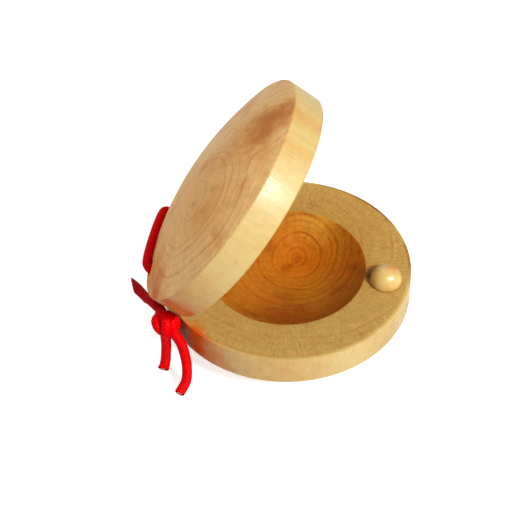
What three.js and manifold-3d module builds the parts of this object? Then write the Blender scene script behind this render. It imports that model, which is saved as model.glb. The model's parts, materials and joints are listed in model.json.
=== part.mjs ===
// Castanets: two turned wooden shells that rock open and shut on bevelled edges.
// An elastic cord runs through both shells in one ring and is knotted at the side.
// Units are millimetres and +Z is up. The origin is the centre of the small flat that
// the lower shell rests on, +X runs from the rocking edge to the striker peg, and the
// rocking axis lies along Y. The shells are modelled at their open resting angle.
import * as THREE from 'three';
import { mergeVertices } from 'three/addons/utils/BufferGeometryUtils.js';
import Module from 'manifold-3d';

const wasm = await Module();
wasm.setup();

// Shells: a straight wall, a shallow dome outside and a round bowl inside.
const SHELL_RADIUS = 27.5;
const WALL_HEIGHT = 7.2;
const DOME_HEIGHT = 5.8;
const DOME_POWER = 1.85;
const BOWL_RADIUS = 17.4;
const BOWL_DEPTH = 6.2;
const BOWL_POWER = 2.4;
const REST_FLAT_RADIUS = 10;
const TURN_SEGMENTS = 56;
const PROFILE_STEPS = 7;

// Rocking edge: each inner face is bevelled beyond a straight ridge, so the elastic
// pulls the two bevels flat together and holds the shells open at twice the bevel angle.
const RIDGE_X = -21;
const BEVEL_ANGLE = THREE.MathUtils.degToRad(27.1);
const OPEN_ANGLE = 2 * BEVEL_ANGLE;
const HALF_GAP = 0.15;

// Cord holes: two through each shell, inside the bevel, with a countersunk outer mouth.
const HOLE_X = -22.8;
const HOLE_Y = 9.3;
const HOLE_RADIUS = 1.4;
const COUNTERSINK = 0.6;

// Elastic cord: a rubber core in a braided sheath.
const CORD_RADIUS = 1.05;
const CHANNEL_RADIUS = 0.7;
const CORE_RADIUS = 0.62;
const CORD_SIDES = 8;
const CORE_SIDES = 6;
const JOINT_GAP = 0.3;
const STEPS_PER_MM = 0.9;

// Loop of cord over the upper dome, as [share of the hole's offset, share of the rise].
const LOOP_RISE = 2.3;
const LOOP_HALF = [[1, 0], [0.96, 0.45], [0.76, 0.8], [0.4, 0.96]];

// Striker peg: a round button on a shank that is glued into the lower shell's rim.
const PEG_X = 22.2;
const PEG_Y = -0.9;
const PEG_HEAD_RADIUS = 3.5;
const PEG_HEAD_HEIGHT = 3.9;
const PEG_EDGE = 0.4;
const PEG_SHANK_RADIUS = 1.6;
const PEG_SHANK_LENGTH = 6;
const PEG_SEAT_GAP = 0.1;
const PEG_HOLE_CLEARANCE = 0.15;
const PEG_STEPS = 6;
const ROUND_SIDES = 24;

// Knot: three turns of cord around a tight centre, beside the near end of the ridge.
// Each cord end stands in a socket at its root.
const KNOT_CENTRE = [-22.7, -20.7, -0.4];
const KNOT_TURN_RADIUS = 1.75;
const KNOT_TURN_TILTS = [[0, 0], [1.1, 0.3], [-0.5, 1.2]];
const KNOT_TURN_SEGMENTS = 18;
const BALL_SIDES = 12;
const BIGHT_ROOT = [-25.7, -18.2, -1.6];
const NEAR_STRAND_ROOT = [-23, -19.4, -3.7];
const SHORT_TAIL_ROOT = [-22.6, -21.9, -3.2];
const LONG_TAIL_ROOT = [-20.1, -22.3, -2.2];

// U-turn of the bight beside the shells.
const BIGHT_TURN_CENTRE = new THREE.Vector3(-32.1, -8.1, -5.2);
const BIGHT_TURN_RADIUS = 1.4;
const BIGHT_TURN_STEPS = 4;
const BIGHT_OUTWARD = new THREE.Vector3(-0.676, 0.706, -0.21).normalize();
const BIGHT_ACROSS = new THREE.Vector3(-0.509, -0.242, 0.827).normalize();

const LIGHT_WOOD = { color: 0xe3c487, roughness: 0.35, metalness: 0 };
const PEG_WOOD = { color: 0xf0dcaa, roughness: 0.3, metalness: 0 };
const RED_BRAID = { color: 0xc8101a, roughness: 0.6, metalness: 0 };
const PALE_RUBBER = { color: 0xe8d9c0, roughness: 0.7, metalness: 0 };

const domeHeight = (radius) =>
  WALL_HEIGHT + DOME_HEIGHT * (1 - (radius / SHELL_RADIUS) ** DOME_POWER);
const HOLE_MOUTH_Z = domeHeight(Math.hypot(HOLE_X, HOLE_Y));
const HOLE_INNER_Z = (RIDGE_X - HOLE_X) * Math.tan(BEVEL_ANGLE);
const INNER_FACE_Z = domeHeight(REST_FLAT_RADIUS);

// ---- Solids ----

function toSolid(geometry) {
  const bare = geometry.index ? geometry.toNonIndexed() : geometry.clone();
  bare.deleteAttribute('normal');
  bare.deleteAttribute('uv');
  const merged = mergeVertices(bare, 1e-4);
  const corners = merged.index.array;
  const triangles = [];
  for (let i = 0; i < corners.length; i += 3) {
    const [a, b, c] = [corners[i], corners[i + 1], corners[i + 2]];
    if (a !== b && b !== c && c !== a) triangles.push(a, b, c);
  }
  return new wasm.Manifold(new wasm.Mesh({
    numProp: 3,
    vertProperties: new Float32Array(merged.attributes.position.array),
    triVerts: new Uint32Array(triangles),
  }));
}

function toGeometry(solid) {
  const mesh = solid.getMesh();
  const geometry = new THREE.BufferGeometry();
  geometry.setAttribute('position', new THREE.BufferAttribute(mesh.vertProperties, 3));
  geometry.setIndex(new THREE.BufferAttribute(mesh.triVerts, 1));
  geometry.computeVertexNormals();
  return geometry;
}

function cut(body, tools) {
  return tools.reduce((rest, tool) => rest.subtract(toSolid(tool)), toSolid(body));
}

function turned(profile, segments) {
  const points = profile.map(([radius, z]) => new THREE.Vector2(radius, z));
  return new THREE.LatheGeometry(points, segments).rotateX(Math.PI / 2);
}

function uprightCylinder(topRadius, bottomRadius, lowZ, highZ) {
  return new THREE.CylinderGeometry(topRadius, bottomRadius, highZ - lowZ, ROUND_SIDES)
    .rotateX(Math.PI / 2)
    .translate(0, 0, (lowZ + highZ) / 2);
}

function piece(name, geometry, finish) {
  const mesh = new THREE.Mesh(geometry, new THREE.MeshStandardMaterial(finish));
  mesh.name = name;
  return mesh;
}

// ---- Shells, in their own frame: hinge plane at z = 0, dome towards +Z ----

function shellProfile(flatRadius) {
  const profile = [];
  for (let i = 0; i <= PROFILE_STEPS; i += 1) {
    const t = i / PROFILE_STEPS;
    profile.push([BOWL_RADIUS * t, HALF_GAP + BOWL_DEPTH * (1 - t ** BOWL_POWER)]);
  }
  profile.push([SHELL_RADIUS, HALF_GAP]);
  for (let i = 0; i <= PROFILE_STEPS; i += 1) {
    const radius = SHELL_RADIUS + (flatRadius - SHELL_RADIUS) * (i / PROFILE_STEPS);
    profile.push([radius, domeHeight(radius)]);
  }
  if (flatRadius > 0) profile.push([0, domeHeight(flatRadius)]);
  return profile;
}

// The bevel is everything under a plane that rises outwards from the ridge.
function bevelTool() {
  const [length, width, depth] = [30, 80, 20];
  return new THREE.BoxGeometry(length, width, depth)
    .translate(0, 0, HALF_GAP - depth / 2)
    .rotateY(BEVEL_ANGLE)
    .translate(RIDGE_X, 0, 0);
}

function cordHoleTools(side) {
  const through = uprightCylinder(HOLE_RADIUS, HOLE_RADIUS, -1, HOLE_MOUTH_Z + 2);
  const wide = HOLE_RADIUS + 2 * COUNTERSINK;
  const mouth = uprightCylinder(
    wide, HOLE_RADIUS, HOLE_MOUTH_Z - COUNTERSINK, HOLE_MOUTH_Z + COUNTERSINK);
  return [through, mouth].map((tool) => tool.translate(HOLE_X, side * HOLE_Y, 0));
}

function shell(flatRadius, extraTools) {
  const tools = [bevelTool(), ...cordHoleTools(1), ...cordHoleTools(-1), ...extraTools];
  return toGeometry(cut(turned(shellProfile(flatRadius), TURN_SEGMENTS), tools));
}

function pegHoleTool() {
  const radius = PEG_SHANK_RADIUS + PEG_HOLE_CLEARANCE;
  return uprightCylinder(radius, radius, -1, PEG_SHANK_LENGTH + PEG_HOLE_CLEARANCE)
    .translate(PEG_X, -PEG_Y, 0);
}

// ---- Striker peg, standing on the lower shell's inner face ----

function pegProfile() {
  const seatZ = PEG_SEAT_GAP - HALF_GAP;
  const widestZ = seatZ + PEG_EDGE;
  const profile = [
    [0, -PEG_SHANK_LENGTH],
    [PEG_SHANK_RADIUS, -PEG_SHANK_LENGTH],
    [PEG_SHANK_RADIUS, seatZ],
    [PEG_HEAD_RADIUS - PEG_EDGE, seatZ],
  ];
  for (let i = 0; i < PEG_STEPS; i += 1) {
    const angle = (Math.PI / 2) * (i / PEG_STEPS);
    const rise = (PEG_HEAD_HEIGHT - widestZ) * Math.sin(angle);
    profile.push([PEG_HEAD_RADIUS * Math.cos(angle), widestZ + rise]);
  }
  profile.push([0, PEG_HEAD_HEIGHT]);
  return profile;
}

// ---- Cord ----

function ring(radius, sides) {
  const shape = new THREE.Shape();
  for (let i = 0; i < sides; i += 1) {
    const angle = (2 * Math.PI * i) / sides;
    const [x, y] = [radius * Math.cos(angle), radius * Math.sin(angle)];
    if (i === 0) shape.moveTo(x, y);
    else shape.lineTo(x, y);
  }
  shape.closePath();
  return shape;
}

// One stretch of cord: the braided sheath and the rubber core inside it.
function cord(name, curve) {
  const straight = curve instanceof THREE.LineCurve3;
  const steps = straight ? 1 : Math.round(curve.getLength() * STEPS_PER_MM);
  const sweep = (shape) =>
    new THREE.ExtrudeGeometry(shape, { steps, extrudePath: curve, bevelEnabled: false });
  const braid = ring(CORD_RADIUS, CORD_SIDES);
  braid.holes.push(ring(CHANNEL_RADIUS, CORE_SIDES));
  return [
    piece(`${name}_sheath`, sweep(braid), RED_BRAID),
    piece(`${name}_core`, sweep(ring(CORE_RADIUS, CORE_SIDES)), PALE_RUBBER),
  ];
}

const smoothCurve = (points) =>
  new THREE.CatmullRomCurve3(points.map(([x, y, z]) => new THREE.Vector3(x, y, z)));

// A leg fills one cord hole, from just behind the bevel to just under the loop's end.
function leg(name, side, direction) {
  const y = side * HOLE_Y;
  const innerEnd = HOLE_INNER_Z + CORD_RADIUS * Math.tan(BEVEL_ANGLE) + JOINT_GAP;
  const outerEnd = HOLE_MOUTH_Z - CORD_RADIUS - JOINT_GAP;
  return cord(name, new THREE.LineCurve3(
    new THREE.Vector3(HOLE_X, y, direction * innerEnd),
    new THREE.Vector3(HOLE_X, y, direction * outerEnd)));
}

// The loop leaves one hole mouth, crosses above the dome and enters the other.
function upperLoop() {
  const place = ([offset, rise], side) =>
    [HOLE_X, side * offset * HOLE_Y, HOLE_MOUTH_Z + rise * LOOP_RISE];
  return cord('upper_loop', smoothCurve([
    ...LOOP_HALF.map((point) => place(point, -1)),
    place([0, 1], 1),
    ...LOOP_HALF.toReversed().map((point) => place(point, 1)),
  ]));
}

// From the near lower hole under the shell's edge and up its wall to the knot.
const nearStrand = () => cord('near_strand', smoothCurve([
  [HOLE_X, -HOLE_Y, -HOLE_MOUTH_Z],
  [HOLE_X, -HOLE_Y - 0.7, -HOLE_MOUTH_Z - 1.5],
  [-22.9, -12.4, -10.4],
  [-23.1, -15.4, -9.7],
  [-23.3, -17.9, -7.4],
  [-23.2, -18.9, -5.2],
  NEAR_STRAND_ROOT,
]));

// The bight leaves the knot, doubles back on itself clear of the shells and passes
// under the lower shell to its far hole.
function bight() {
  const turn = [];
  for (let i = 0; i <= BIGHT_TURN_STEPS; i += 1) {
    const angle = (Math.PI * i) / BIGHT_TURN_STEPS;
    turn.push(BIGHT_TURN_CENTRE.clone()
      .addScaledVector(BIGHT_ACROSS, BIGHT_TURN_RADIUS * Math.cos(angle))
      .addScaledVector(BIGHT_OUTWARD, BIGHT_TURN_RADIUS * Math.sin(angle))
      .toArray());
  }
  return cord('bight', smoothCurve([
    BIGHT_ROOT,
    [-27.6, -15, -2.1],
    [-29.6, -11.9, -3],
    ...turn,
    [-30, -9.3, -6.5],
    [-28.6, -7.6, -7.9],
    [-27, -3.4, -9.4],
    [-24.4, 3, -10.3],
    [HOLE_X, HOLE_Y - 1, -HOLE_MOUTH_Z - 1.7],
    [HOLE_X, HOLE_Y, -HOLE_MOUTH_Z],
  ]));
}

const shortTail = () => cord('short_tail', smoothCurve([
  SHORT_TAIL_ROOT,
  [-22.6, -22.5, -5.4],
  [-22.7, -23.2, -8.2],
  [-22.7, -23.9, -10.9],
]));

const longTail = () => cord('long_tail', smoothCurve([
  LONG_TAIL_ROOT,
  [-18.5, -23.8, -4.6],
  [-17.4, -25.9, -7.4],
  [-17.1, -28.3, -9.7],
  [-17.9, -30.4, -10.5],
]));

function ball(radius, centre) {
  return toSolid(
    new THREE.SphereGeometry(radius, BALL_SIDES, CORD_SIDES).translate(...centre));
}

function knot() {
  const turns = KNOT_TURN_TILTS.map(([tiltX, tiltY]) => toSolid(
    new THREE.TorusGeometry(KNOT_TURN_RADIUS, CORD_RADIUS, CORD_SIDES, KNOT_TURN_SEGMENTS)
      .rotateX(Math.PI / 2 + tiltX)
      .rotateY(tiltY)
      .translate(...KNOT_CENTRE)));
  const lump = turns.reduce(
    (whole, turn) => whole.add(turn), ball(KNOT_TURN_RADIUS, KNOT_CENTRE));
  const roots = [BIGHT_ROOT, NEAR_STRAND_ROOT, SHORT_TAIL_ROOT, LONG_TAIL_ROOT];
  const open = roots.reduce(
    (rest, root) => rest.subtract(ball(CORD_RADIUS + JOINT_GAP, root)), lump);
  return piece('knot', toGeometry(open), RED_BRAID);
}

// ---- Assembly ----

const castanets = new THREE.Group();

const hingePlane = new THREE.Group();
hingePlane.position.z = INNER_FACE_Z;
castanets.add(hingePlane);

const lowerFrame = new THREE.Group();
lowerFrame.rotation.x = Math.PI;
lowerFrame.add(piece('lower_shell', shell(REST_FLAT_RADIUS, [pegHoleTool()]), LIGHT_WOOD));
hingePlane.add(lowerFrame);
hingePlane.add(
  piece(
    'striker_peg',
    turned(pegProfile(), ROUND_SIDES).translate(PEG_X, PEG_Y, 0),
    PEG_WOOD),
  ...leg('lower_near_leg', -1, -1),
  ...leg('lower_far_leg', 1, -1),
  ...nearStrand(),
  ...bight(),
  ...shortTail(),
  ...longTail(),
  knot(),
);

const rockingEdge = new THREE.Group();
rockingEdge.position.x = RIDGE_X;
rockingEdge.rotation.y = -OPEN_ANGLE;
hingePlane.add(rockingEdge);

const upperFrame = new THREE.Group();
upperFrame.position.x = -RIDGE_X;
upperFrame.add(
  piece('upper_shell', shell(0, []), LIGHT_WOOD),
  ...leg('upper_near_leg', -1, 1),
  ...leg('upper_far_leg', 1, 1),
  ...upperLoop(),
);
rockingEdge.add(upperFrame);

export default castanets;
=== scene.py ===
import json
import math

import bmesh
import bpy
import numpy as np
from mathutils import Matrix, Vector


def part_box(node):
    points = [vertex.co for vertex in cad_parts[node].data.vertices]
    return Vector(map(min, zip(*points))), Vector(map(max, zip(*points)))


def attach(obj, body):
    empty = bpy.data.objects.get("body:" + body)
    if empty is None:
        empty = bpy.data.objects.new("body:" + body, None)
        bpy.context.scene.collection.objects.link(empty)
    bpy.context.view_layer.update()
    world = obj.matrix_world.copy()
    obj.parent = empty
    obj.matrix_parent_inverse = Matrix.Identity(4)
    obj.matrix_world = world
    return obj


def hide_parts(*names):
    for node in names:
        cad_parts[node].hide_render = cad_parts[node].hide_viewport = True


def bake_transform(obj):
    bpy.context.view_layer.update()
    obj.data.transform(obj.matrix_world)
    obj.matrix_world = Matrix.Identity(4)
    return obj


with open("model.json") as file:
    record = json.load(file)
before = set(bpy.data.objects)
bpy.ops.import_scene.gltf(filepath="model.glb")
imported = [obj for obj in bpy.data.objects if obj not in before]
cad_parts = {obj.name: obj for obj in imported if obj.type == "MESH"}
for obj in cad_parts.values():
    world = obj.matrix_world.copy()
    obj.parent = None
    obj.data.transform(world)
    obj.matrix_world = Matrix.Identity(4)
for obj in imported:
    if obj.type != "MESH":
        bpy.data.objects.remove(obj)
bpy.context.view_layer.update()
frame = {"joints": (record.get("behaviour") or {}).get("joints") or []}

MM = 0.001
JOINTS = {joint["name"]: joint for joint in frame["joints"]}


def middle(node):
    low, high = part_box(node)
    return (low + high) / 2


# ---- Places and sizes read from the frame ----

RIDGE = Vector(JOINTS["shell_rock"]["pos_m"])
HINGE_Z = RIDGE.z
RIDGE_X = RIDGE.x / MM
LOWER_LOW, LOWER_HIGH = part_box("lower_shell")
SHELL_RADIUS = (LOWER_HIGH.x - LOWER_LOW.x) / 2 / MM
HOLE = middle("lower_near_leg_sheath")
HOLE_X, HOLE_Y = HOLE.x / MM, abs(HOLE.y) / MM
MOUTH_Z = (HINGE_Z - JOINTS["lower_loop_swing"]["pos_m"][2]) / MM
PEG = middle("striker_peg")
PEG_X, PEG_Y = PEG.x / MM, PEG.y / MM

# ---- Sizes of the turned and drilled shapes ----

BEVEL_ANGLE = math.radians(27.1)
OPEN_ANGLE = 2 * BEVEL_ANGLE
BEVEL_BLOCK = (30, 80, 20)
WALL_HEIGHT = 7.2
DOME_HEIGHT = 5.8
DOME_POWER = 1.85
BOWL_RADIUS = 17.4
BOWL_DEPTH = 6.2
BOWL_POWER = 2.4
BOWL_LIP = 0.22
RIM_ROUNDING = 0.3
DOME_ROUNDING = 0.22
EDGE_STRIP = 0.7
REST_FLAT_RADIUS = 10.0
CONTACT_GAP = 0.04
HOLE_RADIUS = 1.35
HOLE_FLARE = 0.9
FLARE_DEPTH = 1.2
FLARE_LENGTH = 1.5
DRILL_START = -2.0
DRILL_RUNOUT = 4.0
SHELL_SEGMENTS = 240
BOWL_STEPS = 36
DOME_STEPS = 48
HOLE_SEGMENTS = 40
FLARE_STEPS = 8
SHELL_CREASE = 24

PEG_HEAD_RADIUS = 3.5
PEG_HEAD_HEIGHT = 3.9
PEG_SHANK_RADIUS = 1.6
PEG_DEPTH = 6.0
PEG_SEAT = 0.02
PEG_ROUNDING = 0.35
PEG_FULLNESS = 0.97
PEG_HOLE_RADIUS = 1.7
PEG_HOLE_DEPTH = 6.2
PEG_SEGMENTS = 96
BRIM_STEPS = 6
HEAD_STEPS = 26
PEG_CREASE = 40
PEG_SHADE_HEIGHT = 0.3

HINGE_FRAME = Matrix.Translation((0, 0, HINGE_Z))
LOWER_FRAME = HINGE_FRAME @ Matrix.Rotation(math.pi, 4, "X")
UPPER_FRAME = (
    Matrix.Translation(RIDGE)
    @ Matrix.Rotation(-OPEN_ANGLE, 4, "Y")
    @ Matrix.Translation((-RIDGE.x, 0, 0))
)


def hinge_metres(point):
    """A point of the hinge frame, as metres in the CAD frame."""
    return HINGE_FRAME @ (Vector(point) * MM)


def new_object(name, mesh, material=None):
    made = bpy.data.objects.new(name, mesh)
    bpy.context.scene.collection.objects.link(made)
    if material:
        mesh.materials.append(material)
    return made


# ---- Node materials ----

class Nodes:
    """Short calls for building a node tree."""

    def __init__(self, name):
        self.material = bpy.data.materials.new(name)
        self.material.use_nodes = True
        self.tree = self.material.node_tree
        self.tree.nodes.clear()
        self.output = self.add("ShaderNodeOutputMaterial")
        self.surface = self.add("ShaderNodeBsdfPrincipled")
        self.feed(self.output, 0, self.surface.outputs[0])

    def add(self, kind, **settings):
        node = self.tree.nodes.new(kind)
        for key, value in settings.items():
            setattr(node, key, value)
        return node

    def feed(self, node, socket, value):
        """Link another node's output to a socket, or give the socket a plain value."""
        if hasattr(value, "links"):
            self.tree.links.new(value, node.inputs[socket])
        else:
            node.inputs[socket].default_value = value

    def look(self, name, value):
        """Set one property of the surface."""
        self.feed(self.surface, name, value)

    def math(self, operation, *values, clamp=False):
        node = self.add("ShaderNodeMath", operation=operation, use_clamp=clamp)
        for index, value in enumerate(values):
            self.feed(node, index, value)
        return node.outputs[0]

    def vector(self, operation, *values):
        node = self.add("ShaderNodeVectorMath", operation=operation)
        for index, value in enumerate(values):
            self.feed(node, index, value)
        return node.outputs["Value" if operation == "LENGTH" else "Vector"]

    def join(self, x, y, z):
        node = self.add("ShaderNodeCombineXYZ")
        for index, value in enumerate((x, y, z)):
            self.feed(node, index, value)
        return node.outputs[0]

    def split(self, vector):
        node = self.add("ShaderNodeSeparateXYZ")
        self.feed(node, 0, vector)
        return tuple(node.outputs)

    def noise(self, position, scale, detail=3.0, roughness=0.55, colour=False):
        node = self.add("ShaderNodeTexNoise")
        self.feed(node, "Vector", position)
        self.feed(node, "Scale", scale)
        self.feed(node, "Detail", detail)
        self.feed(node, "Roughness", roughness)
        return node.outputs["Color" if colour else "Fac"]

    def bands(self, distance, scale, detail, roughness):
        """Noise that changes with one distance only."""
        node = self.add("ShaderNodeTexNoise", noise_dimensions="1D")
        self.feed(node, "W", distance)
        self.feed(node, "Scale", scale)
        self.feed(node, "Detail", detail)
        self.feed(node, "Roughness", roughness)
        return node.outputs["Fac"]

    def between(self, value, low, high, to_low=0.0, to_high=1.0):
        node = self.add("ShaderNodeMapRange", interpolation_type="SMOOTHSTEP")
        for index, item in enumerate((value, low, high, to_low, to_high)):
            self.feed(node, index, item)
        return node.outputs[0]

    def mix(self, factor, first, second):
        node = self.add("ShaderNodeMix", data_type="RGBA")
        self.feed(node, 0, factor)
        self.feed(node, 6, first)
        self.feed(node, 7, second)
        return node.outputs[2]

    def dim(self, colour, shade):
        """A colour times a brightness."""
        return self.vector("MULTIPLY", colour, self.join(shade, shade, shade))

    def bump(self, height, distance, under=None):
        """A raised normal, on top of the one under it."""
        node = self.add("ShaderNodeBump")
        self.feed(node, "Strength", 1.0)
        self.feed(node, "Distance", distance)
        self.feed(node, "Height", height)
        if under is not None:
            self.feed(node, "Normal", under)
        return node.outputs[0]

    def millimetres(self):
        coordinates = self.add("ShaderNodeTexCoord").outputs["Object"]
        return self.vector("MULTIPLY", coordinates, (1 / MM,) * 3)


def rgb(red, green, blue):
    """A colour given as it looks on screen (0 to 255), as linear light."""
    def linear(value):
        value /= 255
        return value / 12.92 if value <= 0.04045 else ((value + 0.055) / 1.055) ** 2.4
    return linear(red), linear(green), linear(blue), 1.0


# ---- Wood ----

FLAT = (1, 1, 0)
RING_SPAN = 40.0
RING_RISE, RING_PEAK, RING_FALL = 0.5, 0.08, 0.16
SWIRL_OFFSET = 5.0
SWIRL_MERGE = 4.0
RAYS_AROUND, RAYS_OUTWARD, RAYS_DEEP = 27.0, 0.22, 0.16
SPOT_CORE, SPOT_FADE, SPOT_RAGGED = 0.5, 1.9, 1.4


def drift(nodes, position, scale, amount):
    """A sideways shift that varies slowly through the wood."""
    shift = nodes.noise(position, scale, detail=2.0, colour=True)
    shift = nodes.vector("SUBTRACT", shift, (0.5,) * 3)
    return nodes.vector("MULTIPLY", shift, (amount, amount, 0))


def ring_distance(nodes, place, looks):
    """Distance from the pith, in millimetres, with a second eye where a twig grew."""
    trunk = nodes.vector("MULTIPLY", place, (1, 1, 0.35))
    bent = nodes.vector("ADD", place, drift(nodes, trunk, 0.08, looks["wobble"]))
    bent = nodes.vector("ADD", bent, drift(nodes, trunk, 0.4, looks["ripple"]))

    def eye(centre, offset):
        reach = nodes.vector("SUBTRACT", bent, (*centre, 0))
        reach = nodes.vector("MULTIPLY", reach, (looks["squeeze"], 1, 0))
        return nodes.math("ADD", nodes.vector("LENGTH", reach), offset)

    pith = eye(looks["pith"], 0.0)
    if looks["swirl"] is None:
        return pith
    return nodes.math("SMOOTH_MIN", pith, eye(looks["swirl"], SWIRL_OFFSET), SWIRL_MERGE)


def ring_lines(nodes, distance, marks):
    """Marked growth rings: each darkens slowly outwards and ends in a crisp edge."""
    ramp = nodes.add("ShaderNodeValToRGB")
    nodes.feed(ramp, 0, nodes.math("DIVIDE", distance, RING_SPAN))
    stops = [(0.0, 0.0)]
    for radius, strength in marks:
        stops.append((radius - RING_RISE, 0.0))
        stops.append((radius - RING_PEAK, strength))
        stops.append((radius + RING_FALL, 0.0))
    elements = ramp.color_ramp.elements
    while len(elements) < len(stops):
        elements.new(1.0)
    for element, (radius, strength) in zip(elements, stops):
        element.position = radius / RING_SPAN
        element.color = (strength, strength, strength, 1)
    return ramp.outputs[0]


def growth_rings(nodes, place, distance, looks):
    """Marked rings with fine bands between them, fainter in patches."""
    patches = nodes.noise(place, 0.11, detail=2.0)
    fade = nodes.between(patches, 0.34, 0.62, looks["faint"], 1.0)
    marked = nodes.math("MULTIPLY", ring_lines(nodes, distance, looks["marks"]), fade)
    fine = nodes.bands(distance, looks["band_scale"], detail=4.0, roughness=0.65)
    fine = nodes.math("MULTIPLY", nodes.between(fine, 0.35, 0.68), fade)
    return nodes.math("ADD", marked, nodes.math("MULTIPLY", fine, looks["bands"]))


def ray_position(nodes, place):
    """Coordinates drawn out along the radius, as the rays of the wood are."""
    x, y, z = nodes.split(place)
    angle = nodes.math("ARCTAN2", y, x)
    radius = nodes.vector("LENGTH", nodes.vector("MULTIPLY", place, FLAT))
    return nodes.join(nodes.math("MULTIPLY", angle, RAYS_AROUND),
                      nodes.math("MULTIPLY", radius, RAYS_OUTWARD),
                      nodes.math("MULTIPLY", z, RAYS_DEEP))


def heartwood(nodes, place, distance, looks):
    """Base colour: heart to outer wood, with warm blotches and darker stains."""
    heart = nodes.between(distance, *looks["heart_reach"], 1.0, 0.0)
    blotch = nodes.between(nodes.noise(place, 0.085, roughness=0.6), 0.48, 0.68)
    stain = nodes.between(nodes.noise(place, 0.19, detail=4.0, roughness=0.65), 0.55, 0.7)
    colour = nodes.mix(heart, looks["outer"], looks["heart"])
    colour = nodes.mix(nodes.math("MULTIPLY", blotch, looks["blotch"]), colour, looks["warm"])
    return nodes.mix(nodes.math("MULTIPLY", stain, looks["stain"]), colour, looks["dark"])


def add_spots(nodes, place, colour, looks):
    """The colour with its local spots, and how far the red dye spots, which also carry the cord's
    painted reflection, dull the finish.
    """
    ragged = nodes.noise(place, 0.25, detail=4.0, roughness=0.6)
    dull = 0.0
    for x, y, reach, strength, tint in looks["spots"]:
        offset = nodes.vector("SUBTRACT", place, (x, y, 0))
        away = nodes.vector("LENGTH", nodes.vector("MULTIPLY", offset, FLAT))
        away = nodes.math("ADD", away, nodes.math("MULTIPLY", ragged, SPOT_RAGGED * reach))
        spot = nodes.between(away, SPOT_CORE * reach, SPOT_FADE * reach, strength, 0.0)
        colour = nodes.mix(spot, colour, looks[tint])
        if tint == "dye_and_cord_reflection":
            dull = nodes.math("MAXIMUM", dull, spot)
    return colour, dull


def wood(name, looks):
    """Turned wood cut across the grain: rings, rays, pores, blotches and a finish."""
    nodes = Nodes(name)
    place = nodes.millimetres()
    distance = ring_distance(nodes, place, looks)
    ring = growth_rings(nodes, place, distance, looks)
    ray_place = ray_position(nodes, place)
    ray = nodes.noise(ray_place, looks["ray_scale"], roughness=0.7)
    speckle = nodes.noise(place, 2.4, roughness=0.8)
    mottle = nodes.noise(place, 0.7, roughness=0.6)
    pore = nodes.between(nodes.noise(place, 4.0, detail=1.0), 0.62, 0.72)

    colour = heartwood(nodes, place, distance, looks)
    colour, dull = add_spots(nodes, place, colour, looks)
    drawn = nodes.math("MULTIPLY", ring, looks["ring"], clamp=True)
    colour = nodes.mix(drawn, colour, looks["line"])
    shade = 1.0
    for pattern, kind in ((ray, "ray"), (speckle, "speckle"), (mottle, "mottle")):
        swing = nodes.math("MULTIPLY", nodes.math("SUBTRACT", pattern, 0.5), looks[kind])
        shade = nodes.math("ADD", shade, swing)
    shade = nodes.math("SUBTRACT", shade, nodes.math("MULTIPLY", pore, looks["pore"]))
    nodes.look("Base Color", nodes.dim(colour, shade))

    shiny = nodes.math("SUBTRACT", 1.0, dull)
    coat_rough = nodes.between(mottle, 0.3, 0.7, 0.7 * looks["coat_rough"], looks["coat_rough"])
    nodes.look("Roughness", nodes.math("ADD", looks["rough"], nodes.math("MULTIPLY", speckle, 0.14)))
    nodes.look("Specular IOR Level", nodes.math("MULTIPLY", shiny, looks["gloss"]))
    nodes.look("Coat Weight", nodes.math("MULTIPLY", shiny, looks["coat"]))
    nodes.look("Coat Roughness", coat_rough)
    grain = nodes.math("ADD", ray, nodes.math("MULTIPLY", ring, 0.2))
    relief = nodes.bump(nodes.math("ADD", speckle, grain), looks["relief"] * MM)
    swell = nodes.noise(ray_place, 0.6, detail=2.0)
    nodes.look("Normal", relief)
    nodes.look("Coat Normal", nodes.bump(swell, 0.06 * MM, under=relief))
    return nodes.material


# How each piece of wood grew: its pith, its second eye and its marked rings as (radius, strength).
LOWER_WOOD = dict(
    pith=(0.9, -7.8), swirl=None, squeeze=1.0, wobble=1.8, ripple=0.3,
    marks=((1.2, 0.4), (2.4, 0.45), (3.6, 0.25), (5.7, 0.65), (9.4, 0.5),
           (11.0, 0.45), (12.4, 0.6), (14.8, 0.6), (21.5, 0.7), (29.0, 0.6)))
UPPER_WOOD = dict(
    pith=(0.8, -8.5), swirl=(19.0, 3.7), squeeze=0.86, wobble=2.6, ripple=0.6,
    marks=((1.3, 0.6), (2.8, 0.4), (4.4, 0.9), (7.0, 0.4), (9.6, 0.6),
           (11.4, 0.9), (13.2, 0.4), (15.4, 0.9), (18.5, 0.4), (22.0, 0.5)))
PEG_WOOD = dict(
    pith=(1.4, 0.6), swirl=None, squeeze=1.0, wobble=0.8, ripple=0.3,
    marks=((2.0, 0.5), (4.0, 0.5)))

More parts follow.
